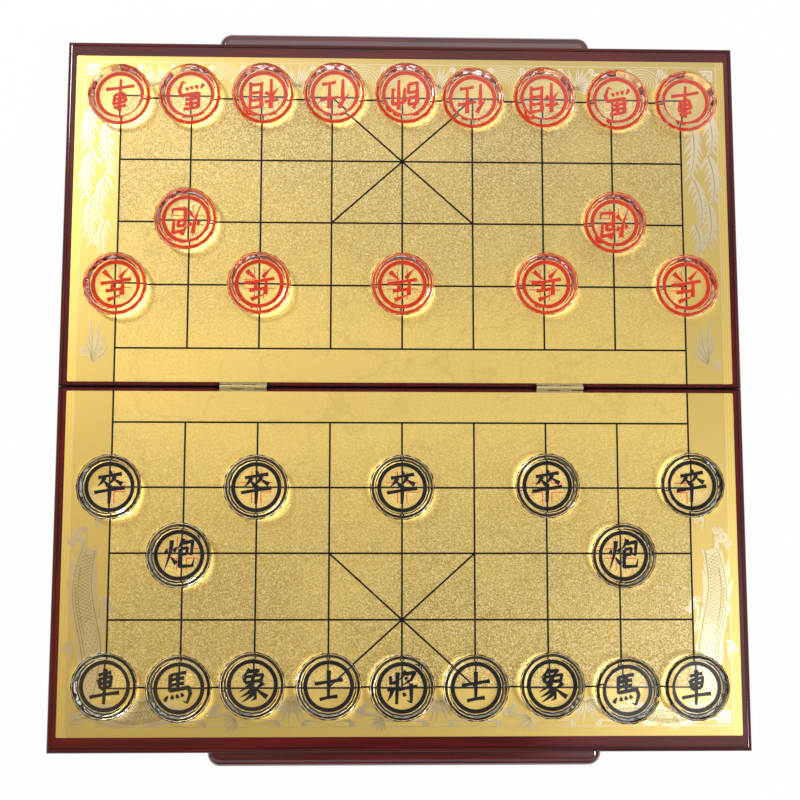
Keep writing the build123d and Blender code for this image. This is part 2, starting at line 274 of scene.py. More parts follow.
class Recipe:
    """A material or world in the making: it makes the nodes and wires them."""

    def __init__(self, name, world=None):
        self.owner = world or bpy.data.materials.new(name)
        self.owner.use_nodes = True
        self.tree = self.owner.node_tree
        self.tree.nodes.clear()

    def node(self, kind, inputs=None, output=0, **settings):
        """A node of any kind: its settings first, then the values or links of its sockets."""
        made = self.tree.nodes.new(kind)
        for name, value in settings.items():
            setattr(made, name, value)
        for key, value in (inputs or {}).items():
            socket = made.inputs[key]
            if isinstance(value, Field):
                self.tree.links.new(value.socket, socket)
            elif hasattr(value, "__len__") and socket.type == "RGBA":
                socket.default_value = (*value, 1)
            else:
                socket.default_value = value
        return Field(self, made.outputs[output]) if made.outputs else made

    def place(self, stretch=(1, 1, 1)):
        """Object coordinates, stretched."""
        spot = self.node("ShaderNodeTexCoord", output="Object")
        return self.node("ShaderNodeMapping", {"Vector": spot, "Scale": stretch})

    def axes(self):
        """Object X, Y and Z as three values."""
        spot = self.node("ShaderNodeTexCoord", output="Object")
        parts = self.node("ShaderNodeSeparateXYZ", {0: spot})
        return [Field(self, output) for output in parts.socket.node.outputs]

    def noise(self, scale, detail, roughness, spot=None):
        """Smooth noise from 0 to 1."""
        spot = spot or self.place()
        return self.node("ShaderNodeTexNoise", {"Vector": spot, "Scale": scale, "Detail": detail,
                                                "Roughness": roughness})

    def streaks(self, stretch, detail, roughness):
        """Noise drawn out along the axis with the smallest stretch."""
        return self.noise(1.0, detail, roughness, self.place(stretch))

    def cells(self, scale):
        """One random value for each cell of a fine mosaic."""
        colour = self.node("ShaderNodeTexVoronoi", {"Vector": self.place(), "Scale": scale},
                           output="Color")
        return self.node("ShaderNodeSeparateXYZ", {0: colour})

    def blend(self, share, first, second):
        """Two colours mixed by a share."""
        return self.node("ShaderNodeMix", {0: share, 6: first, 7: second}, output=2,
                         data_type="RGBA")

    def bump(self, height, depth, strength):
        """A normal disturbed by a height field."""
        return self.node("ShaderNodeBump",
                         {"Height": height, "Distance": depth, "Strength": strength})

    def transparent(self, tint):
        """A shader that passes rays on unbent, times a tint."""
        return self.node("ShaderNodeBsdfTransparent", {"Color": tint})

    def mix(self, share, first, second):
        """Two shaders mixed by a share."""
        return self.node("ShaderNodeMixShader", {0: share, 1: first, 2: second})

    def shader(self, **inputs):
        """A Principled shader with its sockets named with underscores for spaces."""
        named = {name.replace("_", " "): value for name, value in inputs.items()}
        return self.node("ShaderNodeBsdfPrincipled", named)

    def finish(self, surface):
        """Wires the surface to the output and returns the material."""
        self.node("ShaderNodeOutputMaterial", {"Surface": surface})
        return self.owner

    def principled(self, **inputs):
        """The finished material of a single Principled shader."""
        return self.finish(self.shader(**inputs))


# ---------------------------------------------------------------- shared making
def new_piece(name, made, material, body, replaces=()):
    """A finished piece from a bmesh: it rides on a body and takes a finish."""
    bmesh.ops.recalc_face_normals(made, faces=made.faces)
    mesh = bpy.data.meshes.new(name)
    made.to_mesh(mesh)
    made.free()
    mesh.materials.append(material)
    piece = bpy.data.objects.new(name, mesh)
    bpy.context.scene.collection.objects.link(piece)
    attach(piece, body)
    if replaces:
        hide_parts(*replaces)
    return piece


def add_block(made, low, high, turn=0.0):
    """A block between two corners, turned about its own upright axis."""
    low, high = Vector(low), Vector(high)
    matrix = (Matrix.Translation((low + high) / 2) @ Matrix.Rotation(turn, 4, "Z")
              @ Matrix.Diagonal((*(high - low), 1)))
    bmesh.ops.create_cube(made, size=1.0, matrix=matrix)


def round_edges(made, edges, radius, segments):
    """Bevelled edges of a bmesh."""
    bmesh.ops.bevel(made, geom=edges, offset=radius, affect="EDGES", segments=segments,
                    profile=0.5, material=-1)


def slab(low, high, corner, corner_segments, edge):
    """A flat slab with rounded corners and a softened upper edge."""
    made = bmesh.new()
    add_block(made, low, high)
    upright = [e for e in made.edges if abs(e.verts[0].co.z - e.verts[1].co.z) > 0]
    round_edges(made, upright, corner, corner_segments)
    top = max(v.co.z for v in made.verts)
    upper = [e for e in made.edges if min(v.co.z for v in e.verts) > top - HAIR]
    round_edges(made, upper, edge, 2)
    return made


def smooth(piece):
    """Smooth shading for a rounded piece."""
    for polygon in piece.data.polygons:
        polygon.use_smooth = True
    return piece


def paint(node, material):
    """A CAD node's finish."""
    mesh = NODES[node].data
    mesh.materials.clear()
    mesh.materials.append(material)


def brushed(strokes, height, rise):
    """Splines of (x, y, radius) points, swept round and pressed flat at a height, as a bmesh."""
    curve = bpy.data.curves.new("strokes", "CURVE")
    curve.dimensions = "3D"
    curve.twist_mode = "Z_UP"
    curve.bevel_depth = 1.0
    curve.bevel_resolution = 1
    curve.use_fill_caps = True
    curve.resolution_u = 3
    for points in strokes:
        spline = curve.splines.new("NURBS")
        spline.points.add(len(points) - 1)
        for point, (x, y, radius) in zip(spline.points, points):
            point.co = (x, y, 0, 1)
            point.radius = radius
        spline.order_u = 3
        spline.use_smooth = False
        spline.use_endpoint_u = True
    holder = bpy.data.objects.new("strokes", curve)
    mesh = bpy.data.meshes.new_from_object(holder)
    made = bmesh.new()
    made.from_mesh(mesh)
    bpy.data.objects.remove(holder)
    bpy.data.curves.remove(curve)
    bpy.data.meshes.remove(mesh)
    bmesh.ops.transform(made, matrix=Matrix.Diagonal((1, 1, rise, 1)), verts=made.verts)
    bmesh.ops.translate(made, vec=(0, 0, height), verts=made.verts)
    return made


# ---------------------------------------------------------------- finishes of the case
# How much each finish is squeezed along X, Y and Z. The grain runs along the smallest number.
LACQUER_ALONG_X = (18, 420, 420)
LACQUER_ALONG_Y = (420, 18, 420)
PALE_ALONG_X = (14, 220, 220)
PALE_ALONG_Y = (220, 14, 220)
BRASS_DRAWN = (300, 6000, 6000)
STEEL_DRAWN = (200, 9000, 9000)
CLOTH_NAP = (1, 0.35, 1)

# Painted shade on the frame's lacquer: it darkens by distance from the hinge line, below the
# playing face and in from the outer edges.
SEAM_SHADE_FADE = (0.8 * MM, 1.05 * MM)
LIP_SHADE_FADE = (2.0 * MM, 4.0 * MM)
RIM_SHADE_FADE = (1.2 * MM, 2.2 * MM)
MITRE_REACH = 20 * MM


def lacquer_material(name, gloss, framed=False):
    """Deep red-brown lacquer over dark wood. A framed piece has its grain along each rail, and
    painted shade at the hinge seam and along its outer edges.
    """
    look = looks("xiangqi_case")
    recipe = Recipe(name)
    grain = recipe.streaks(LACQUER_ALONG_X, 5, 0.6)
    if framed:
        x, y, z = recipe.axes()
        in_from_side = CASE_EDGE - abs(x)
        in_from_end = CASE_END - abs(y)
        on_side = in_from_side < in_from_end
        grain = grain + (recipe.streaks(LACQUER_ALONG_Y, 5, 0.6) - grain) * on_side
        mitre = ((abs(in_from_side - in_from_end) < look.mitre)
                 * (in_from_end < MITRE_REACH))
        # Painted shade on the outer bead, darker towards the outer edges.
        rim_shade = in_from_side.math("MINIMUM", in_from_end).ramp(*RIM_SHADE_FADE, 0.4, 0.0)
        # Painted shade at the hinge seam, strongest near the playing face; the coat is taken off
        # there as well.
        seam_shade = abs(y).ramp(*SEAM_SHADE_FADE, 1.0, 0.0) * (FACE - z).ramp(*LIP_SHADE_FADE, 1.0, 0.3)
        # Dark joints at the mitres, together with the painted shade of the bead and the seam.
        dark = (mitre * 0.75 + rim_shade).math("MAXIMUM", seam_shade)
        gloss = gloss * (1 - seam_shade)
    else:
        dark = recipe.cells(900.0) * 0.04
    pores = recipe.noise(2600.0, 2, 0.7).ramp(0.60, 0.72)
    colour = recipe.blend(grain.ramp(0.35, 0.68), look.lacquer_dark, look.lacquer)
    # Pores and random tone, and on a framed piece the dark joints and painted shade, pull the
    # colour towards near black.
    colour = recipe.blend(pores * 0.12 + dark, colour, scaled(look.lacquer_dark, 0.2))
    orange_peel = recipe.noise(420.0, 2, 0.5)
    rub = recipe.noise(60.0, 4, 0.6)
    return recipe.principled(Base_Color=colour, Roughness=rub.spread(0.30, 0.42),
                             Specular_IOR_Level=0.10, Coat_Weight=gloss,
                             Coat_IOR=look.coat_ior, Coat_Roughness=0.08,
                             Normal=recipe.bump(orange_peel, 0.06 * MM, 0.35))


def brass_material():
    """Polished brass with fine drawn lines and a trace of tarnish."""
    look = looks("xiangqi_case")
    recipe = Recipe("hinge_brass")
    drawn = recipe.streaks(BRASS_DRAWN, 3, 0.6)
    tarnish = recipe.noise(380.0, 4, 0.6).ramp(0.45, 0.75)
    colour = recipe.blend(tarnish * 0.25, look.brass, scaled(look.brass, 0.55))
    return recipe.principled(Base_Color=colour, Metallic=1.0,
                             Roughness=drawn.spread(0.17, 0.27) + tarnish * 0.06)


def steel_material():
    """Drawn steel wire."""
    look = looks("xiangqi_case")
    recipe = Recipe("hinge_pin_steel")
    drawn = recipe.streaks(STEEL_DRAWN, 3, 0.6)
    colour = recipe.blend(drawn, scaled(look.steel, 0.7), look.steel)
    return recipe.principled(Base_Color=colour, Metallic=1.0, Roughness=drawn.spread(0.2, 0.35))


def pale_wood_material(name, stretch):
    """Planed light wood; stretch says which way its grain runs."""
    look = looks("xiangqi_case")
    recipe = Recipe(name)
    grain = recipe.streaks(stretch, 6, 0.62)
    fine = recipe.streaks(scaled(stretch, 4), 3, 0.5)
    figure = grain.ramp(0.36, 0.66) * 0.75 + fine * 0.25
    colour = recipe.blend(figure, look.pale_grain, look.pale_wood)
    return recipe.principled(Base_Color=colour, Roughness=figure.ramp(0, 1, 0.62, 0.45),
                             Normal=recipe.bump(figure, 0.12 * MM, 0.6))


def core_material():
    """Pressed fibre board: fine flecks."""
    look = looks("xiangqi_case")
    recipe = Recipe("core_board")
    fleck = recipe.cells(1800.0)
    soft = recipe.noise(700.0, 4, 0.6)
    colour = recipe.blend(fleck * 0.6 + soft * 0.4, scaled(look.core, 0.6), look.core)
    return recipe.principled(Base_Color=colour, Roughness=soft.spread(0.75, 0.9),
                             Normal=recipe.bump(fleck, 0.1 * MM, 0.6))


def cloth_material():
    """Short flocked pile, brushed this way and that."""
    look = looks("xiangqi_case")
    recipe = Recipe("drawer_lining")
    pile = recipe.noise(5200.0, 3, 0.7)
    nap = recipe.noise(45.0, 3, 0.5, recipe.place(CLOTH_NAP))
    # Darker in fine flecks of the pile and in broad patches along the nap.
    pile_and_nap_tone = pile.spread(0.0, 0.55) + nap.ramp(0.35, 0.65, 0.0, 0.45)
    colour = recipe.blend(pile_and_nap_tone, scaled(look.cloth, 0.45), look.cloth)
    return recipe.principled(Base_Color=colour, Roughness=0.95, Sheen_Weight=0.45,
                             Normal=recipe.bump(pile, 0.2 * MM, 0.8))


# ---------------------------------------------------------------- finishes of the plates
STIPPLE_FADE = (12 * MM, 120 * MM)  # the stipple grows stronger away from the river
ROLLED = (900, 14, 900)  # squeeze of the faint rolling lines, which run along Y
CONTOURS = 7  # levels of the fine wandering lines in the field


def gold_material():
    """The playing plate: stippled inside the grid, with painted glints and shade in its grains,
    satin at the river and in the border.
    """
    board = looks("xiangqi_board")
    look = looks("xiangqi_plate")
    recipe = Recipe("gold_plate")
    x, y, _ = recipe.axes()
    from_river = abs(y - board.shift)
    inside = ((abs(x) < EDGE_FILE * board.file_step)
              * (from_river < board.bank + BACK_ROW * board.row_step))
    patches = recipe.noise(16.0, 3, 0.5).spread(0.55, 1.15)
    stipple = inside * from_river.ramp(*STIPPLE_FADE, 0.16, 1.0) * patches
    coarse = recipe.cells(look.coarse_cells)
    fine = recipe.cells(look.fine_cells)
    sparkle = coarse * 0.75 + fine * 0.25
    # Painted glints on the bright grains and painted shade on the dark grains of the stipple.
    bright = sparkle.ramp(0.58, 0.80) * stipple
    dark = sparkle.ramp(0.55, 0.15, 0.0, 0.8) * stipple
    drift = recipe.noise(7.0, 3, 0.5)
    rolled = recipe.streaks(ROLLED, 3, 0.6)
    level = recipe.noise(11.0, 4, 0.55) * CONTOURS
    contour = abs(level - level.math("ROUND")).ramp(0.0, 0.09, 1.0, 0.0)
    margin = PLATE_EDGE - look.side_margin
    panel = (abs(x) < margin) * (1 - inside)
    # The faint ribs of the side margins are painted as stripes of light and shade.
    rib_light_and_shade = (x * (2 * pi / look.rib)).math("SINE") * (abs(x) > margin)
    toned = drift * 0.30 + rolled * 0.12 + panel * 0.55 + rib_light_and_shade * 0.32 + contour * inside * 0.35
    colour = recipe.blend(toned, look.field, scaled(look.field, 0.78))
    colour = recipe.blend(bright, colour, look.glint)
    colour = recipe.blend(dark, colour, look.pit_shade)
    return recipe.principled(Base_Color=colour, Metallic=1.0,
                             Roughness=0.46 + 0.02 * stipple + 0.06 * rolled,
                             Coat_Weight=1.0, Coat_IOR=look.coat_ior, Coat_Roughness=0.2,
                             Normal=recipe.bump((coarse + fine) * stipple, 0.14 * MM, 1.0))


def polished_material():
    """Bright polished gold of the embossed ornament, under a glossy coat."""
    look = looks("xiangqi_plate")
    recipe = Recipe("polished_gold")
    drift = recipe.noise(240.0, 3, 0.5)
    return recipe.principled(Base_Color=recipe.blend(drift, look.polished,
                                                     scaled(look.polished, 0.86)),
                             Metallic=1.0, Roughness=drift.spread(0.30, 0.38),
                             Coat_Weight=1.0, Coat_IOR=look.polished_ior, Coat_Roughness=0.12)


def engraved_material():
    """Cut lines of the ornament: the field's gold, darker and dull."""
    look = looks("xiangqi_plate")
    recipe = Recipe("engraved_gold")
    wear = recipe.noise(500.0, 3, 0.5)
    colour = recipe.blend(wear, scaled(look.field, 0.42), scaled(look.field, 0.6))
    return recipe.principled(Base_Color=colour, Metallic=1.0, Roughness=wear.spread(0.38, 0.52))


def lightened(colour, share, lift):
    """A colour made a little lighter, for paint that is thin or worn."""
    return tuple(min(1.0, share * part + lift) for part in colour)


def ink_material(name, colour):
    """Printed ink, a little worn."""
    recipe = Recipe(name)
    wear = recipe.noise(900.0, 4, 0.7).ramp(0.56, 0.78)
    return recipe.principled(Base_Color=recipe.blend(wear * 0.6, colour,
                                                     lightened(colour, 1.25, 0.008)),
                             Specular_IOR_Level=0.12, Roughness=wear.ramp(0, 1, 0.42, 0.6))


# ---------------------------------------------------------------- finishes of the men
# Rays that go to a lamp cross the glass unbent. Its foot gathers light and its shoulder takes
# light away, between these heights above the playing face. Both stop short of the flat faces.
OPEN_TINT = (0.86, 0.84, 0.80)
GATHERED_TINT = (4.8, 4.6, 4.1)
SPENT_TINT = (0.42, 0.33, 0.20)
FOOT_START = 0.1 * MM
FOOT_FADE = (2.4 * MM, 3.2 * MM)
SHOULDER_FADE = (3.0 * MM, 4.5 * MM)
SHOULDER_END = 9.9 * MM


def paint_material(name, colour):
    """Brushed enamel seen through glass: streaks that follow no edge, and a soft sheen."""
    recipe = Recipe(name)
    load = recipe.noise(420.0, 4, 0.6)
    return recipe.principled(Base_Color=recipe.blend(load.ramp(0.4, 0.75), colour,
                                                     lightened(colour, 1.22, 0.015)),
                             Specular_IOR_Level=0.06, Roughness=load.spread(0.45, 0.6),
                             Normal=recipe.bump(load, 0.03 * MM, 0.5))


def glass_material():
    """Clear cut glass. Lamps brighten what lies by its foot and dim what its shoulder covers."""
    look = looks("xiangqi_men")
    recipe = Recipe("cut_glass")
    haze = recipe.noise(90.0, 2, 0.5)
    tint = recipe.blend(haze, look.glass, scaled(look.glass, 0.985))
    glass = recipe.shader(Base_Color=tint, Roughness=0.0, IOR=1.52, Transmission_Weight=1.0)
    to_lamp = recipe.node("ShaderNodeLightPath", output="Is Shadow Ray")
    _, _, z = recipe.axes()
    height = z - FACE
    foot = (height > FOOT_START) * height.ramp(*FOOT_FADE, 1.0, 0.0)
    shoulder = height.ramp(*SHOULDER_FADE) * (height < SHOULDER_END)
    clear = recipe.mix(to_lamp, glass, recipe.transparent(OPEN_TINT))
    dimmed = recipe.mix(to_lamp * shoulder, clear, recipe.transparent(SPENT_TINT))
    return recipe.finish(recipe.mix(to_lamp * foot, dimmed, recipe.transparent(GATHERED_TINT)))


# ---------------------------------------------------------------- operators: case
class XIANGQI_OT_case(bpy.types.Operator):
    """Lacquer the half cases and drawer fronts, and finish the boards inside them"""

    bl_idname = "xiangqi.case"
    bl_label = "Case"

    def execute(self, context):
        look = looks("xiangqi_case")
        finishes = {
            "case_frame": lacquer_material("lacquered_wood", look.frame_gloss, framed=True),
            "drawer_front": lacquer_material("lacquered_front", look.front_gloss),
            "base_board": lacquer_material("lacquered_panel", look.panel_gloss),
            "top_board": core_material(),
        }
        for half in SIDES:
            for node, finish in finishes.items():
                paint(f"{half}_{node}", finish)
        return {"FINISHED"}


class XIANGQI_OT_hinges(bpy.types.Operator):
    """Finish the hinge leaves and pins"""

    bl_idname = "xiangqi.hinges"
    bl_label = "Hinges"

    def execute(self, context):
        brass = brass_material()
        steel = steel_material()
        for hand in HANDS:
            paint(f"{hand}_hinge_pin", steel)
            for half in SIDES:
                paint(f"{hand}_hinge_{half}_leaf", brass)
        return {"FINISHED"}


class XIANGQI_OT_drawers(bpy.types.Operator):
    """Finish the drawers and lay a lining in each"""

    bl_idname = "xiangqi.drawers"
    bl_label = "Drawers"

    def execute(self, context):
        look = looks("xiangqi_case")
        side_wood = pale_wood_material("drawer_wood", PALE_ALONG_Y)
        bottom_wood = pale_wood_material("drawer_bottom_wood", PALE_ALONG_X)
        cloth = cloth_material()
        for half in SIDES:
            paint(f"{half}_drawer_box", side_wood)
            paint(f"{half}_drawer_guides", side_wood)
            paint(f"{half}_drawer_bottom", bottom_wood)
            low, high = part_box(f"{half}_drawer_lining")
            made = slab(low, high, look.cloth_corner, 4, look.cloth_edge)
            lining = new_piece(f"{half}_lining_cloth", made, cloth, f"{half}_drawer",
                               [f"{half}_drawer_lining"])
            smooth(lining)
        return {"FINISHED"}


# ---------------------------------------------------------------- operators: plates
ARM_HEIGHTS = (0.8, 0.9)  # of the two arms of an opening mark, as shares of a line's height
BAR_SINK = 0.02 * MM  # how deep a printed bar is set into its plate
STAGGER = 0.15  # crossing bars differ in height by this share, so that no two faces coincide


class XIANGQI_OT_plates(bpy.types.Operator):
    """Lay the two gold playing plates"""

    bl_idname = "xiangqi.plates"
    bl_label = "Plates"

    def execute(self, context):
        look = looks("xiangqi_plate")
        gold = gold_material()
        for half in SIDES:
            low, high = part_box(f"{half}_board_plate")
            made = slab(low, (high.x, high.y, high.z - look.drop), look.corner, 3,
                        look.edge_bevel)
            new_piece(f"{half}_gold_plate", made, gold, f"{half}_case",
                      [f"{half}_board_plate"])
        return {"FINISHED"}


def flat_bar(made, start, end, width, height):
    """A thin printed bar from one point to another, standing proud of the plate."""
    start, end = Vector(start), Vector(end)
    run = end - start
    x, y = (start + end) / 2
    plate_top = FACE - looks("xiangqi_plate").drop
    low = (x - run.length / 2, y - width / 2, plate_top - BAR_SINK)
    high = (x + run.length / 2, y + width / 2, plate_top + height)
    add_block(made, low, high, -Vector((1.0, 0.0)).angle_signed(run))


def row_place(board, side, row):
    """Y of a printed row, counted from the river."""
    return side * (board.bank + row * board.row_step) + board.shift


class XIANGQI_OT_grid(bpy.types.Operator):
    """Print the files, rows and palaces of the board"""

    bl_idname = "xiangqi.grid"
    bl_label = "Grid"

    def execute(self, context):
        board = looks("xiangqi_board")
        ink = ink_material("board_ink", board.line_colour)
        for half, side in SIDES.items():
            bank, back = (row_place(board, side, row) for row in (0, BACK_ROW))
            edge = EDGE_FILE * board.file_step + board.line_width / 2
            made = bmesh.new()
            for row in range(BACK_ROW + 1):
                y = row_place(board, side, row)
                flat_bar(made, (-edge, y), (edge, y), board.line_width, board.line_height)
            for file in range(-EDGE_FILE, EDGE_FILE + 1):
                start = side * PLATE_SEAM if abs(file) == EDGE_FILE else bank
                x = file * board.file_step
                flat_bar(made, (x, start), (x, back), board.line_width,
                         board.line_height * (1 + STAGGER))
            palace = back - side * 2 * board.row_step
            for hand in (-1, 1):
                flat_bar(made, (-hand * board.file_step, palace), (hand * board.file_step, back),
                         board.line_width, board.line_height * (1 + (2 + hand) * STAGGER))
            new_piece(f"{half}_grid", made, ink, f"{half}_case")
        return {"FINISHED"}


class XIANGQI_OT_marks(bpy.types.Operator):
    """Print the opening marks of cannons and soldiers"""

    bl_idname = "xiangqi.marks"
    bl_label = "Opening marks"

    def execute(self, context):
        board = looks("xiangqi_board")
        ink = ink_material("mark_ink", board.tick_colour)
        soldiers = [(file, SOLDIER_ROW) for file in range(-EDGE_FILE, EDGE_FILE + 1, 2)]
        cannons = [(file, CANNON_ROW) for file in (-CANNON_FILE, CANNON_FILE)]
        for half, side in SIDES.items():
            made = bmesh.new()
            for file, row in soldiers + cannons:
                self.corner_marks(made, board, file, row_place(board, side, row))
            new_piece(f"{half}_opening_marks", made, ink, f"{half}_case")
        return {"FINISHED"}

    @staticmethod
    def corner_marks(made, board, file, y):
        """Up to four corners round a point; an edge file has only the two inside the board."""
        for across in (-1, 1):
            if file * across == EDGE_FILE:
                continue
            for along in (-1, 1):
                corner = Vector((file * board.file_step + across * board.tick_gap,
                                 y + along * board.tick_gap))
                for way, height in zip(((across, 0), (0, along)), ARM_HEIGHTS):
                    flat_bar(made, corner, corner + board.tick_reach * Vector(way),
                             board.tick_width, board.line_height * height)


# ---------------------------------------------------------------- operators: ornament
# Places and sizes of the ornament are in millimetres, and leans in degrees. X is counted from
# the middle of the board and Y from the hinge line, on the side that a loop is working on.
BAND = 166.3  # the middle of the side borders
LINE_END = 26  # the border line ends this far from the hinge line
LINE_HALF_WIDTH = 0.18
CORNER_KEY = 8.4  # size of the key spirals at the corners
RIVER_KEY = 6.0  # size of the key spirals beside the tufts
QUARTER = radians(90)

# Plumes of a side border: step out of the band, Y, lean, length and width.
PLUMES = ((4.0, 157, 3, 25, 7.0), (-4.2, 149, -5, 32, 7.5), (4.4, 131, 3, 27, 7.0),
          (-3.8, 117, 6, 26, 6.5), (4.2, 103, -6, 25, 6.5), (-4.0, 92, 2, 18, 5.5))
# Blades of a tuft at the river: lean and length.
TUFT = ((-38, 12), (-24, 17), (-12, 27), (0, 23), (13, 18), (28, 12))
# Clouds beside the ribbons: Y, step out of the band and size.
CLOUDS = ((80, 3.0, 6.4), (70, -4.0, 3.6), (116, -8.0, 5.0),
          (127, -6.5, 3.6), (138, 8.0, 4.0), (152, -8.0, 4.4))
FLAMES = (1.7, 2.7, 1.4, 3.1, 2.1)  # sizes of the flames along a ribbon, in turn


def turned(points, x, y, turn, size=1.0, hand=1):
    """Points of (x, y, radius), scaled, mirrored, turned and moved."""
    c, s = cos(turn), sin(turn)
    placed = []
    for along, across, radius in points:
        across *= hand
        placed.append((x + size * (along * c - across * s), y + size * (along * s + across * c),
                       size * radius))
    return placed


def mm_to_metres(strokes):
    """Strokes in millimetres carried to metres."""
    return [turned(points, 0, 0, 0, MM) for points in strokes]


class Motif:
    """Strokes of one ornament, in millimetres along +X: broad bodies, fine ones and lines."""

    def __init__(self):
        self.broad = []
        self.fine = []
        self.lines = []

    def stamp(self, other, x, y, turn=0.0, size=1.0, hand=1):
        """Another motif's strokes, added at a place in this one."""
        for own, strokes in ((self.broad, other.broad), (self.fine, other.fine),
                             (self.lines, other.lines)):
            own += [turned(points, x, y, turn, size, hand) for points in strokes]


def shares(steps):
    """Even shares of a way, from 0 to 1."""
    return [step / steps for step in range(steps + 1)]


def curl(tail, turns=1.35, weight=0.19):
    """A cloud curl of unit size: a spiral that opens into a tapering tail."""
    motif = Motif()
    points = []
    for share in shares(8):
        angle = 2 * pi * turns * (1 - share)
        reach = 0.10 + 0.42 * share
        points.append((reach * sin(angle), 0.5 - reach * cos(angle), weight * (0.5 + 0.5 * share)))
    points += [(0.5 * tail, -0.02, weight), (tail, 0.16, weight * 0.15)]
    motif.fine.append(points)
    return motif


def cloud(size):
    """Three curls that run out into one drifting tail."""
    motif = Motif()
    motif.stamp(curl(tail=2.0), 0, 0, size=size)
    motif.stamp(curl(tail=1.3, turns=1.2), -0.75 * size, 0.25 * size,
                turn=radians(35), size=0.72 * size, hand=-1)
    motif.stamp(curl(tail=1.1, turns=1.2), 0.55 * size, 0.75 * size,
                turn=radians(12), size=0.62 * size)
    motif.lines.append([(-0.3 * size, -0.25 * size, 0.1), (0.6 * size, -0.45 * size, 0.12),
                        (1.7 * size, -0.15 * size, 0.05)])
    return motif


def leaf(length, width, bend):
    """A pointed leaf with its midrib."""
    motif = Motif()
    motif.broad.append([(0, 0, 0.14 * width), (0.28 * length, 0.4 * bend, 0.46 * width),
                        (0.62 * length, bend, 0.50 * width), (length, 0.9 * bend, 0.03 * width)])
    motif.lines.append([(0.06 * length, 0, 0.16), (0.35 * length, 0.5 * bend, 0.15),
                        (0.62 * length, bend, 0.12), (0.9 * length, 0.95 * bend, 0.05)])
    return motif


def plume(length, width, bend, teeth=7):
    """A feathered leaf: a broad blade with deeply toothed edges, and its quill."""
    motif = Motif()

    def spine(share):
        return share * length, bend * sin(pi * share * 0.9)

    def girth(share):
        return 0.28 * width * (0.12 + 0.88 * sin(pi * (0.10 + 0.86 * share)))

    motif.broad.append([(*spine(share), girth(share)) for share in shares(8)])
    motif.lines.append([(*spine(share), 0.24 - 0.12 * share) for share in shares(8)])
    for tooth in range(teeth):
        share = (tooth + 0.3) / teeth
        x, y = spine(share)
        for hand in (-1, 1):
            edge = 0.5 * hand * girth(share)
            reach = 0.34 * width * (1.15 - 0.5 * share) * (1.0 + 0.4 * ((tooth + hand) % 2))
            motif.broad.append([(x, y + edge, 0.30 * reach),
                                (x + 0.9 * reach, y + edge + 0.75 * hand * reach, 0.30 * reach),
                                (x + 2.2 * reach, y + edge + 1.30 * hand * reach, 0.04)])
    return motif


def fan(petals, reach, spread):
    """Slim petals that open from one point, long in the middle of the fan."""
    motif = Motif()
    for index in range(petals):
        share = index / (petals - 1) - 0.5
        size = reach * (1.0 - 0.9 * share * share)
        motif.stamp(leaf(size, width=0.145 * reach, bend=0.10 * size), 0, 0,
                    turn=share * spread, hand=1 if share > 0 else -1)
    return motif


def ripples(rings, pitch):
    """Arcs one inside the other, like water round a stone."""
    motif = Motif()
    for ring in range(1, rings + 1):
        radius = ring * pitch
        motif.fine.append([(radius * cos(angle), 0.8 * radius * sin(angle), 0.24)
                           for angle in (-0.5, 0.2, 0.9, 1.6, 2.3, 3.0, 3.7)])
    return motif


def scales(columns, rows, pitch):
    """Overlapping scales in staggered rows: an outer arc and a finer inner one."""
    motif = Motif()
    arc = [pi * share for share in shares(4)]
    for row in range(rows):
        for column in range(columns - row % 2):
            x = (column - (columns - 1) / 2 + 0.5 * (row % 2)) * pitch
            y = row * pitch * 0.5
            for size, radius in ((0.43, 0.085), (0.20, 0.05)):
                motif.fine.append([(x + size * pitch * cos(angle), y + size * pitch * sin(angle),
                                    radius * pitch) for angle in arc])
    return motif


def ribbon(length, width, sway, waves, pitch=1.9, tongues=9, lattice_from=0.52):
    """A broad ribbon that winds along, dotted, then latticed, with flames down both sides."""
    motif = Motif()

    def spine(share):
        return length * share, sway * sin(2 * pi * waves * share)

    def heading(share):
        rise = 2 * pi * waves * sway * cos(2 * pi * waves * share)
        return Vector((length, rise)).normalized()

    def girth(share):
        return width / 2 * (0.45 + 0.55 * sin(pi * (0.10 + 0.80 * share)))

    def beside(share, lane, ahead=0.0):
        way = heading(share)
        x, y = spine(share)
        return x + way.x * ahead - way.y * lane, y + way.y * ahead + way.x * lane

    motif.broad.append([(*spine(share), girth(share)) for share in shares(16)])
    for lane, first, last in ((-0.80, 0, 17), (-0.58, 5, 13), (-0.36, 7, 15), (0.80, 0, 17)):
        motif.lines.append([(*beside(share, lane * girth(share)), 0.22)
                            for share in shares(16)[first:last]])
    rows = int(length / pitch)
    for row in range(2, rows - 1):
        share = row / rows
        reach = 0.66 * girth(share)
        if share > lattice_from:
            for hand in (-1, 1):
                motif.lines.append([(*beside(share, -hand * reach, -0.6 * reach), 0.13),
                                    (*beside(share, 0.0), 0.16),
                                    (*beside(share, hand * reach, 0.6 * reach), 0.13)])
        else:
            for column in range(-3, 4):
                lane = (column + 0.5 * (row % 2)) * 1.3 * pitch
                if abs(lane) < reach:
                    motif.lines.append([(*beside(share, lane, -0.5), 0.10),
                                        (*beside(share, lane), 0.34),
                                        (*beside(share, lane, 0.5), 0.10)])
    for tongue in range(tongues):
        for hand in (-1, 1):
            share = (tongue + 0.5 + 0.2 * hand) / tongues
            lane = 0.84 * hand * girth(share)
            size = FLAMES[(tongue * 2 + hand) % len(FLAMES)]
            motif.broad.append([(*beside(share, lane), 0.75 * size),
                                (*beside(share, lane + 0.6 * hand * size, 1.4 * size), 0.5 * size),
                                (*beside(share, lane + 0.9 * hand * size, 3.2 * size), 0.06)])
    return motif


def square_spiral():
    """A square key spiral of unit size, for the corners."""
    corners = [(0.5, 0.5), (0.5, 0.62), (0.36, 0.62), (0.36, 0.36), (0.74, 0.36), (0.74, 0.80),
               (0.18, 0.80), (0.18, 0.16), (0.98, 0.16)]
    motif = Motif()
    motif.fine.append([(*corner, 0.075) for corner in corners for _ in range(2)])
    return motif


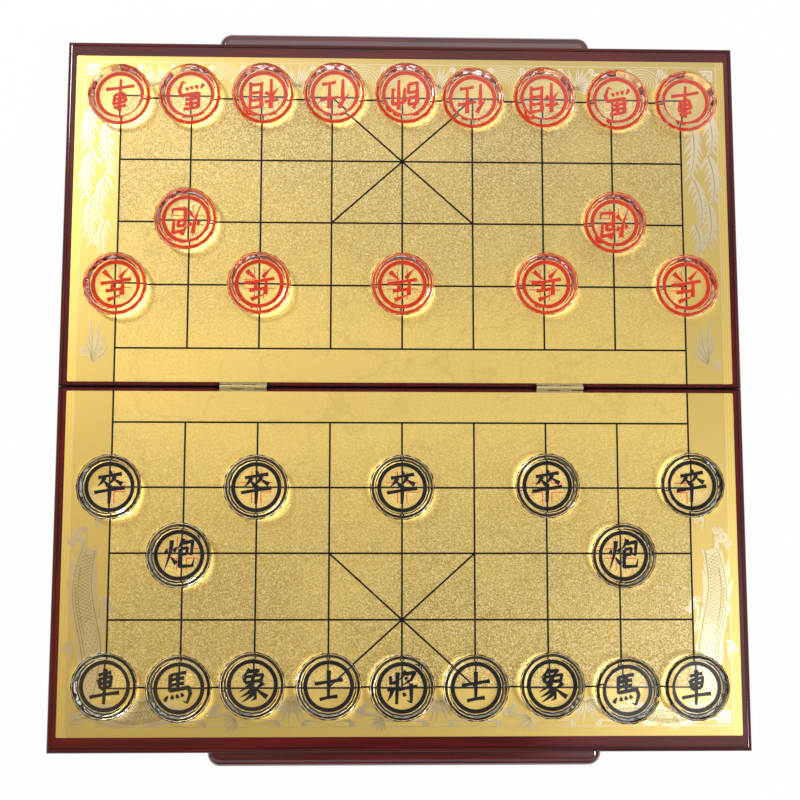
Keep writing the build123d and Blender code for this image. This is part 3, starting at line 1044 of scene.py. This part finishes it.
class XIANGQI_OT_ornament(bpy.types.Operator):
    """Emboss clouds, plumes, fans and flames round the playing field"""

    bl_idname = "xiangqi.ornament"
    bl_label = "Ornament"

    def execute(self, context):
        look = looks("xiangqi_plate")
        board = looks("xiangqi_board")
        gold = polished_material()
        engraved = engraved_material()
        for half, side in SIDES.items():
            motif = self.frame_lines(half, side)
            draw = self.plume_border if half == "far" else self.ribbon_border
            draw(motif, side, abs(row_place(board, side, BACK_ROW)) / MM, board.file_step / MM)
            base = FACE - look.drop
            made = brushed(mm_to_metres(motif.broad), base, look.broad_rise)
            extra = brushed(mm_to_metres(motif.fine), base, look.fine_rise)
            held = bpy.data.meshes.new("fine")
            extra.to_mesh(held)
            extra.free()
            made.from_mesh(held)
            bpy.data.meshes.remove(held)
            new_piece(f"{half}_ornament", made, gold, f"{half}_case")
            lines = brushed(mm_to_metres(motif.lines), base + look.line_lift, look.line_rise)
            new_piece(f"{half}_engraving", lines, engraved, f"{half}_case")
        return {"FINISHED"}

    @staticmethod
    def frame_lines(half, side):
        """The fine line round three sides of the border, and the corner keys."""
        look = looks("xiangqi_plate")
        motif = Motif()
        margin = look.far_margin if half == "far" else look.near_margin
        x = (PLATE_EDGE - look.side_margin) / MM
        y = side * (PLATE_END - margin) / MM
        corners = ((-x, side * LINE_END), (-x, y), (x, y), (x, side * LINE_END))
        for start, end in zip(corners, corners[1:]):
            middle = ((start[0] + end[0]) / 2, (start[1] + end[1]) / 2)
            motif.fine.append([(*point, LINE_HALF_WIDTH) for point in (start, middle, end)])
        for hand in (-1, 1):
            motif.stamp(square_spiral(), hand * (x - 0.6), y - side * 0.6,
                        turn=pi if hand > 0 else 0, size=CORNER_KEY, hand=hand * side)
        return motif

    @staticmethod
    def plume_border(motif, side, back, step):
        """Plumes up both sides, and fans, leaves and ripples between the back men."""
        for hand in (-1, 1):
            for step_out, y, lean, length, width in PLUMES:
                motif.stamp(plume(length, width, bend=2.4), hand * (BAND + step_out), side * y,
                            turn=-QUARTER * side + hand * radians(lean), hand=hand)
            for lean, reach in TUFT:
                motif.stamp(leaf(reach, width=2.4, bend=3.0), hand * (BAND + 1), side * 13,
                            turn=QUARTER * side + radians(hand * side * lean), hand=hand)
            motif.stamp(square_spiral(), hand * (BAND + 9), side * 16,
                        turn=pi if hand > 0 else 0, size=RIVER_KEY, hand=side)
        for gap in range(-EDGE_FILE, EDGE_FILE):
            x = (gap + 0.5) * step
            y = side * (back + 7.5)
            if gap % 2:
                motif.stamp(ripples(rings=6, pitch=1.9), x - 2.0, y + side * 3.5, hand=side)
                motif.stamp(fan(petals=7, reach=10.5, spread=radians(110)), x + 8,
                            y + side * 4.0, turn=radians(35) * side)
            else:
                motif.stamp(fan(petals=15, reach=13.0, spread=radians(200)), x, y,
                            turn=QUARTER * side)
            for hand in (-1, 1):
                motif.stamp(curl(tail=2.4), x + hand * 8.5, side * (back + 16.0),
                            turn=0 if hand > 0 else pi, size=3.8, hand=hand * side)

    @staticmethod
    def ribbon_border(motif, side, back, step):
        """Broad ribbons among flames and clouds up both sides, clouds between the back men."""
        for hand in (-1, 1):
            motif.stamp(ribbon(length=80, width=13.5, sway=3.0, waves=1.0), hand * BAND,
                        side * 167, turn=-QUARTER * side, hand=hand)
            motif.stamp(ribbon(length=62, width=7.5, sway=1.4, waves=1.5), hand * 172,
                        side * (back + 14.5), turn=0 if hand < 0 else pi, hand=hand * side)
            for y, step_out, size in CLOUDS:
                motif.stamp(cloud(size), hand * (BAND + step_out), side * y,
                            turn=QUARTER * side, hand=-hand if step_out < 0 else hand)
            motif.stamp(ripples(rings=5, pitch=1.5), hand * (BAND - 5), side * 57, hand=side)
        for gap in range(-EDGE_FILE, EDGE_FILE):
            x = (gap + 0.5) * step
            y = side * (back + 14.0)
            if gap % 2:
                motif.stamp(cloud(4.4), x - 2.0, y, hand=-side)
                motif.stamp(fan(petals=7, reach=8.5, spread=radians(120)), x + 10,
                            y + side * 2.5, turn=radians(150) * side)
            else:
                motif.stamp(fan(petals=11, reach=12.0, spread=radians(170)), x,
                            side * (back + 7.0), turn=QUARTER * side)
                motif.stamp(scales(columns=3, rows=4, pitch=4.2), x, side * (back + 5.0),
                            hand=side)
            for hand in (-1, 1):
                motif.stamp(curl(tail=2.8), x + hand * 6.5, side * (back + 17.4),
                            turn=0 if hand > 0 else pi, size=3.4, hand=hand * side)


# ---------------------------------------------------------------- operators: men
# Half width of each kind of brush stroke at its start, middle and end, as a share of the brush.
PRESSURE = {
    "level": (0.95, 0.60, 1.05),
    "plumb": (1.20, 0.95, 0.75),
    "fall": (1.20, 0.90, 0.12),
    "press": (0.35, 0.85, 1.35),
    "dot": (0.30, 1.10, 0.95),
    "turn": (0.85, 0.80, 0.90),
    "hook": (1.00, 1.00, 0.15),
}

# Brush strokes of each rank in a square of about 100 units, X to the right and Y up.
SQUARE = 100
SQUARE_MIDDLE = (50, 49)
RANKS = {
    "chariot": (
        ("level", (30, 84), (70, 89)),
        ("plumb", (31, 72), (36, 42)),
        ("turn", (31, 71), (71, 77), (66, 45)),
        ("level", (36, 57), (66, 61)),
        ("level", (37, 42), (66, 46)),
        ("level", (4, 20), (50, 25), (96, 25)),
        ("plumb", (51, 102), (51, 50), (48, -6)),
    ),
    "horse": (
        ("plumb", (24, 93), (22, 66), (21, 42)),
        ("level", (24, 91), (72, 95)),
        ("level", (24, 76), (66, 79)),
        ("level", (23, 60), (66, 63)),
        ("plumb", (46, 92), (45, 44)),
        ("hook", (21, 44), (80, 49), (86, 30), (76, 2), (62, 10)),
        ("dot", (16, 30), (6, 14)),
        ("dot", (29, 31), (30, 17)),
        ("dot", (43, 32), (47, 19)),
        ("dot", (57, 34), (63, 22)),
    ),
    "elephant": (
        ("fall", (42, 100), (34, 88), (16, 76)),
        ("hook", (36, 92), (68, 93), (52, 77)),
        ("plumb", (24, 76), (27, 58)),
        ("turn", (24, 76), (82, 79), (76, 59)),
        ("plumb", (51, 77), (49, 59)),
        ("level", (27, 58), (77, 60)),
        ("fall", (50, 57), (36, 44), (8, 32)),
        ("hook", (34, 47), (58, 38), (60, 8), (46, 2)),
        ("fall", (52, 38), (36, 24), (12, 16)),
        ("fall", (57, 28), (40, 10), (16, 0)),
        ("fall", (84, 54), (74, 44), (58, 38)),
        ("press", (57, 42), (74, 24), (96, 8)),
    ),
    "scholar": (
        ("level", (6, 60), (50, 63), (94, 65)),
        ("plumb", (50, 98), (50, 56), (49, 14)),
        ("level", (22, 11), (78, 15)),
    ),
    "advisor": (
        ("fall", (36, 98), (24, 72), (2, 52)),
        ("plumb", (24, 70), (24, 34), (23, 0)),
        ("level", (38, 60), (66, 63), (98, 65)),
        ("plumb", (68, 96), (68, 54), (67, 12)),
        ("level", (46, 8), (92, 12)),
    ),
    "general": (
        ("plumb", (36, 98), (35, 50), (33, 0)),
        ("turn", (14, 88), (14, 66), (34, 68)),
        ("level", (4, 46), (36, 49)),
        ("fall", (20, 46), (16, 28), (4, 12)),
        ("fall", (62, 100), (54, 86), (42, 74)),
        ("hook", (60, 90), (90, 92), (78, 70), (50, 56)),
        ("dot", (58, 80), (66, 73)),
        ("dot", (66, 70), (74, 63)),
        ("level", (40, 44), (98, 48)),
        ("hook", (78, 60), (79, 30), (79, 2), (64, 9)),
        ("dot", (52, 34), (60, 22)),
    ),
    "marshal": (
        ("fall", (26, 100), (22, 92), (14, 84)),
        ("plumb", (13, 84), (13, 46), (12, 8)),
        ("turn", (14, 82), (40, 85), (38, 60)),
        ("level", (14, 59), (39, 61)),
        ("turn", (14, 42), (42, 45), (40, 14)),
        ("level", (13, 12), (40, 15)),
        ("plumb", (54, 76), (53, 26)),
        ("hook", (54, 75), (94, 79), (93, 28), (82, 32)),
        ("plumb", (74, 100), (74, 50), (73, -2)),
    ),
    "cannon": (
        ("dot", (12, 72), (8, 58)),
        ("dot", (42, 76), (33, 62)),
        ("fall", (27, 98), (27, 60), (4, 6)),
        ("press", (25, 46), (33, 34), (42, 24)),
        ("fall", (64, 100), (58, 84), (44, 68)),
        ("hook", (58, 86), (92, 89), (89, 48), (78, 50)),
        ("turn", (54, 68), (76, 70), (74, 50)),
        ("level", (55, 49), (75, 52)),
        ("hook", (54, 68), (52, 14), (92, 12), (97, 34)),
    ),
    "footman": (
        ("dot", (48, 102), (54, 90)),
        ("level", (14, 82), (50, 85), (88, 87)),
        ("fall", (34, 80), (28, 66), (12, 54)),
        ("press", (32, 70), (40, 60), (46, 54)),
        ("fall", (66, 82), (60, 68), (48, 56)),
        ("press", (66, 72), (76, 62), (90, 54)),
        ("level", (2, 36), (50, 40), (98, 42)),
        ("plumb", (50, 56), (51, 24), (49, -4)),
    ),
    "soldier": (
        ("fall", (76, 98), (56, 92), (30, 84)),
        ("plumb", (29, 86), (28, 62), (27, 40)),
        ("level", (28, 64), (82, 67)),
        ("plumb", (60, 65), (60, 42)),
        ("level", (2, 36), (50, 40), (98, 42)),
        ("fall", (38, 30), (30, 16), (10, 0)),
        ("press", (60, 32), (74, 20), (90, 2)),
    ),
    "minister": (
        ("level", (2, 70), (46, 73)),
        ("plumb", (26, 98), (26, 50), (25, -2)),
        ("fall", (25, 66), (18, 46), (0, 30)),
        ("press", (27, 58), (36, 48), (44, 42)),
        ("plumb", (56, 90), (55, 6)),
        ("turn", (56, 89), (94, 92), (92, 4)),
        ("level", (56, 64), (92, 66)),
        ("level", (56, 39), (92, 41)),
        ("level", (55, 12), (92, 14)),
    ),
}

RANK_OF = {
    "red": {"chariot": "chariot", "horse": "horse", "elephant": "minister", "advisor": "advisor",
            "general": "marshal", "cannon": "cannon", "soldier": "soldier"},
    "black": {"chariot": "chariot", "horse": "horse", "elephant": "elephant",
              "advisor": "scholar", "general": "general", "cannon": "cannon",
              "soldier": "footman"},
}


def brush_stroke(kind, points, bow=0.06):
    """Brush points with their pressure: corners are held by doubling them, and a stroke
    without a middle is bowed a little."""
    start, middle, end = PRESSURE[kind]
    if len(points) == 2:
        (x, y), (end_x, end_y) = points
        bowed = ((x + end_x) / 2 - bow * (end_y - y), (y + end_y) / 2 + bow * (end_x - x))
        points = (points[0], bowed, points[1])
    held = []
    last = len(points) - 1
    for index, (x, y) in enumerate(points):
        share = index / last
        if share < 0.5:
            weight = start + (middle - start) * 2 * share
        else:
            weight = middle + (end - middle) * (2 * share - 1)
        again = 2 if kind in ("turn", "hook") and 0 < index < last else 1
        held += [(x, y, weight)] * again
    return held


# Corners of the ring's section, as shares of half its width and thickness.
RING_PROFILE = ((-1, 0), (-0.8, 0.8), (0.8, 0.8), (1, 0), (0.8, -0.8), (-0.8, -0.8))
RING_STEPS = 72


class XIANGQI_OT_men(bpy.types.Operator):
    """Clear glass for the men, with a ring and a rank painted under each"""

    bl_idname = "xiangqi.men"
    bl_label = "Men"

    def execute(self, context):
        look = looks("xiangqi_men")
        glass = glass_material()
        enamel = {"red": paint_material("red_enamel", look.red),
                  "black": paint_material("black_enamel", look.black)}
        for node in sorted(NODES):
            colour = node.split("_")[0]
            if colour not in enamel:
                continue
            paint(node, glass)
            kind = RANK_OF[colour][node.split("_")[1]]
            self.painted_rank(look, node, kind, colour, enamel[colour])
        return {"FINISHED"}

    @staticmethod
    def painted_rank(look, node, kind, colour, enamel):
        """The ring and the strokes of one man, turned to face its own player."""
        middle = centre(node)
        turn = pi if colour == "red" else 0.0
        unit = look.rank_height / SQUARE
        height = FACE + look.paint_lift
        strokes = []
        for stroke_kind, *points in RANKS[kind]:
            held = []
            for x, y, weight in brush_stroke(stroke_kind, points):
                x -= SQUARE_MIDDLE[0]
                y -= SQUARE_MIDDLE[1]
                held.append((x * unit, (y + look.slant * x) * unit, weight * look.brush))
            strokes.append(turned(held, middle.x, middle.y, turn))
        made = brushed(strokes, height, look.paint_rise)
        half = look.ring_width / 2
        profile = [made.verts.new((middle.x + look.ring_radius + across * half, middle.y,
                                   height + up * half * look.paint_rise))
                   for across, up in RING_PROFILE]
        edges = [made.edges.new((profile[i - 1], profile[i])) for i in range(len(profile))]
        bmesh.ops.spin(made, geom=profile + edges, cent=(middle.x, middle.y, height),
                       axis=(0, 0, 1), angle=2 * pi, steps=RING_STEPS, use_merge=True)
        new_piece(f"{node}_paint", made, enamel, node)


# ---------------------------------------------------------------- operators: stage
LAMPS = {"left_lamp": (-0.86, 0.72, 1.25), "right_lamp": (0.84, -0.50, 1.25)}
CAMERA_PLACE = (-0.0181, -0.0783, 0.6747)
CAMERA_TURN = (6.30, -1.51, 0.05)  # degrees
LENS = 54.0  # millimetres, like the sensor's width
SENSOR = 36.0
FLOOR_REACH = 4.0
SEAM_REACH = 3 * MM  # the floor keeps its shade where it is seen through the seam

# What reflections meet round the box. A lean is how far a ray points along a direction, from -1
# to 1, and each pair of leans is where a patch fades in or out.
HOOD_WAY = (0.06, -0.03, 1.0)
HOOD_ANGLES = (radians(41), radians(22))  # from the hood's middle
PANEL_LIMIT = (0.80, 0.90)  # no panel reaches further from the hood's middle
NEAR_LIMIT = (0.155, 0.185)  # nor do the right and the warm one towards the near side
RIGHT_PANEL = ((0.20, 0.24), (0.31, 0.37))
RIGHT_TRACE = 0.1  # what is left of the right panel beyond its window
LEFT_PANEL = (-0.22, -0.30)
FAR_PANEL = (0.18, 0.38)
WARM_PANEL = (0.10, 0.20)
HORIZON_FADE = (0.04, 0.50)
HORIZON_LIGHT = 0.25  # what is left of the light at the horizon
NEAR_SHADE = ((0.11, 0.19), (0.35, 0.50))
SHADE_DEPTH = 0.7
NEAR_FADE = (0.70, 0.92)
NEAR_LIGHT = 0.20  # what is left of it low on the near side


class XIANGQI_OT_stage(bpy.types.Operator):
    """Set up the pale floor, the soft lamps, the light all round and the camera"""

    bl_idname = "xiangqi.stage"
    bl_label = "Stage"

    def execute(self, context):
        look = looks("xiangqi_stage")
        self.floor(context, look)
        self.world(context, look)
        self.lamp(context, "left_lamp", look.lamp_left, look.lamp_size)
        self.lamp(context, "right_lamp", look.lamp_right, look.lamp_size)
        self.camera(context)
        return {"FINISHED"}

    @staticmethod
    def floor(context, look):
        """A wide pale floor: seen as white, it still keeps a soft shadow."""
        recipe = Recipe("pale_floor")
        speck = recipe.noise(260.0, 3, 0.6)
        tone = recipe.blend(speck * 0.3, look.floor, scaled(look.floor, 0.97))
        matt = recipe.shader(Base_Color=tone, Roughness=0.9)
        white = recipe.node("ShaderNodeEmission", {"Color": (1, 1, 1), "Strength": 1.0})
        x, y, _ = recipe.axes()
        seam_shade = (abs(x) < CASE_EDGE) * (abs(y) < SEAM_REACH)
        path = recipe.node("ShaderNodeLightPath").socket.node.outputs
        seen, mirrored, refracted = (Field(recipe, path[f"Is {kind} Ray"])
                                     for kind in ("Camera", "Glossy", "Transmission"))
        looked_at = seen.math("MAXIMUM", mirrored).math("MAXIMUM", refracted)
        material = recipe.finish(recipe.mix(looked_at * look.floor_white * (1 - seam_shade), matt, white))
        made = bmesh.new()
        bmesh.ops.create_grid(made, x_segments=1, y_segments=1, size=FLOOR_REACH,
                              matrix=Matrix.Translation((0, 0, cad_low.z)))
        mesh = bpy.data.meshes.new("floor")
        made.to_mesh(mesh)
        made.free()
        mesh.materials.append(material)
        floor = bpy.data.objects.new("floor", mesh)
        context.scene.collection.objects.link(floor)

    @staticmethod
    def world(context, look):
        """Plain white to the camera. Reflections meet a dark hood with paler panels round it."""
        recipe = Recipe("soft_light", bpy.data.worlds.new("soft_light"))
        context.scene.world = recipe.owner
        way = recipe.node("ShaderNodeTexCoord", output="Generated")

        def lean(*direction):
            """How far a ray points along a direction."""
            unit = tuple(Vector(direction).normalized())
            return recipe.node("ShaderNodeVectorMath", {0: way, 1: unit}, output="Value",
                               operation="DOT_PRODUCT")

        def window(value, opening, closing, after=0.0):
            """0 before the opening, 1 in the window and a last value after the closing."""
            return value.ramp(*opening) * value.ramp(*closing, 1.0, after)

        over, near, across = lean(*HOOD_WAY), lean(0, -1, 0), lean(1, -1, 0)
        hood = over.ramp(*(cos(angle) for angle in HOOD_ANGLES), look.sky_side, look.sky_top)
        horizon = lean(0, 0, 1).ramp(*HORIZON_FADE, HORIZON_LIGHT, 1.0)
        shade = window(near, *NEAR_SHADE) * SHADE_DEPTH
        dim = near.ramp(*NEAR_FADE, 1.0, NEAR_LIGHT) * (1 - shade)
        inside = near.ramp(*NEAR_LIMIT, 1.0, 0.0)
        right = window(across, *RIGHT_PANEL, RIGHT_TRACE) * inside
        left = across.ramp(*LEFT_PANEL) * look.left_panel
        far = lean(0, 1, 0).ramp(*FAR_PANEL) * look.far_panel
        warm = lean(-1, -1, 0).ramp(*WARM_PANEL) * inside
        pale = right.math("MAXIMUM", left).math("MAXIMUM", far) * look.panel
        panels = pale.math("MAXIMUM", warm * look.warm_panel) * over.ramp(*PANEL_LIMIT)
        light = (hood * horizon * dim).math("MAXIMUM", panels)
        seen = recipe.node("ShaderNodeLightPath", output="Is Camera Ray")
        tint = recipe.blend(warm * (1 - seen), (1.0, 1.0, 1.0), look.warm)
        surface = recipe.node("ShaderNodeBackground",
                              {"Color": tint, "Strength": light + seen * (1 - light)})
        recipe.node("ShaderNodeOutputWorld", {"Surface": surface})

    @staticmethod
    def lamp(context, name, power, size):
        """A soft square lamp aimed at the board."""
        lamp = bpy.data.lights.new(name, "AREA")
        lamp.energy = power
        lamp.size = size
        holder = bpy.data.objects.new(name, lamp)
        holder.location = LAMPS[name]
        aim = Vector((0, 0, FACE)) - Vector(LAMPS[name])
        holder.rotation_euler = aim.to_track_quat("-Z", "Y").to_euler()
        context.scene.collection.objects.link(holder)

    @staticmethod
    def camera(context):
        """Above the board, a little towards the near player."""
        camera = bpy.data.cameras.new("camera")
        camera.sensor_width = SENSOR
        camera.lens = LENS
        camera.clip_start = 10 * MM
        holder = bpy.data.objects.new("camera", camera)
        holder.location = CAMERA_PLACE
        holder.rotation_euler = [radians(turn) for turn in CAMERA_TURN]
        context.scene.collection.objects.link(holder)
        context.scene.camera = holder
        context.scene.view_settings.view_transform = "Standard"


class XIANGQI_PT_panel(bpy.types.Panel):
    """Lists the steps that finish the box"""

    bl_label = "Xiangqi Box"
    bl_idname = "XIANGQI_PT_panel"
    bl_space_type = "VIEW_3D"
    bl_region_type = "UI"
    bl_category = "Xiangqi Box"

    def draw(self, context):
        for step in STEPS:
            self.layout.operator(step.bl_idname)


GROUPS = {"xiangqi_board": BoardLayout, "xiangqi_plate": PlateLook, "xiangqi_case": CaseLook,
          "xiangqi_men": MenLook, "xiangqi_stage": StageLook}
STEPS = (XIANGQI_OT_case, XIANGQI_OT_hinges, XIANGQI_OT_drawers, XIANGQI_OT_plates,
         XIANGQI_OT_grid, XIANGQI_OT_marks, XIANGQI_OT_ornament, XIANGQI_OT_men,
         XIANGQI_OT_stage)


def register():
    """Register the settings, the steps and the panel."""
    for name, group in GROUPS.items():
        bpy.utils.register_class(group)
        setattr(bpy.types.Scene, name, PointerProperty(type=group))
    for step in (*STEPS, XIANGQI_PT_panel):
        bpy.utils.register_class(step)


def unregister():
    """Undo register."""
    for step in reversed((*STEPS, XIANGQI_PT_panel)):
        bpy.utils.unregister_class(step)
    for name, group in reversed(GROUPS.items()):
        delattr(bpy.types.Scene, name)
        bpy.utils.unregister_class(group)


def main():
    """Register, then run every step in order."""
    register()
    for step in STEPS:
        area, name = step.bl_idname.split(".")
        getattr(getattr(bpy.ops, area), name)()


if __name__ == "__main__":
    main()
